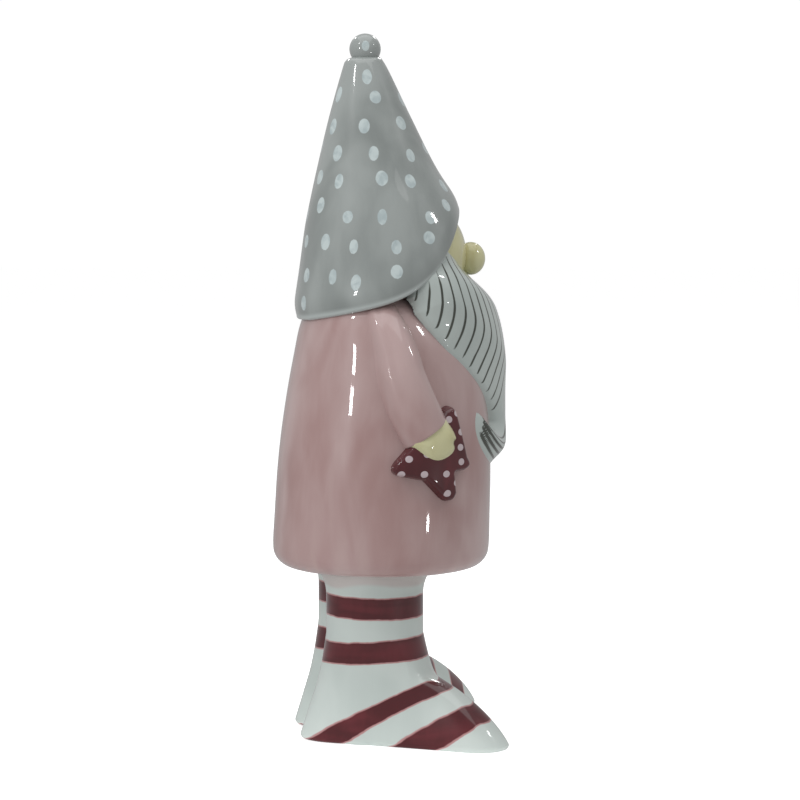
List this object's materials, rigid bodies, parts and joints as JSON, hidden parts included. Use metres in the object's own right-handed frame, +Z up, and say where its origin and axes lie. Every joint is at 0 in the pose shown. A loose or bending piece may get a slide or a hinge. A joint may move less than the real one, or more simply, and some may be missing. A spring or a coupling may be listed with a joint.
{
  "type": "gnome figurine",
  "caption": "Glazed ceramic tomte gnome with a tall dotted cone hat, round nose, long combed beard, bell tunic, striped socks and big slippers, holding a star.",
  "frame": {"origin": "on the standing surface, below the middle of the whole figurine's box", "axes": "+Z up; the gnome faces -Y; its right side, with the star, is -X"},
  "size_m": [0.111, 0.1016, 0.3],
  "materials": {
    "grey_glaze": "gloss",
    "skin_glaze": "gloss",
    "beard_glaze": "gloss",
    "rose_glaze": "gloss",
    "maroon_glaze": "gloss",
    "striped_glaze": "gloss",
    "bare_clay": "matte"
  },
  "bodies": {
    "root": {"hat": "grey_glaze", "hat_bobble": "grey_glaze", "head": "skin_glaze", "nose": "skin_glaze", "beard": "beard_glaze", "tunic": "rose_glaze", "tunic_floor": "bare_clay", "right_sleeve": "rose_glaze", "left_sleeve": "rose_glaze", "right_hand": "skin_glaze", "left_hand": "skin_glaze", "star": "maroon_glaze", "right_sock": "striped_glaze", "left_sock": "striped_glaze", "right_foot": "striped_glaze", "left_foot": "striped_glaze", "right_sole": "bare_clay", "left_sole": "bare_clay"}
  },
  "joints": []
}
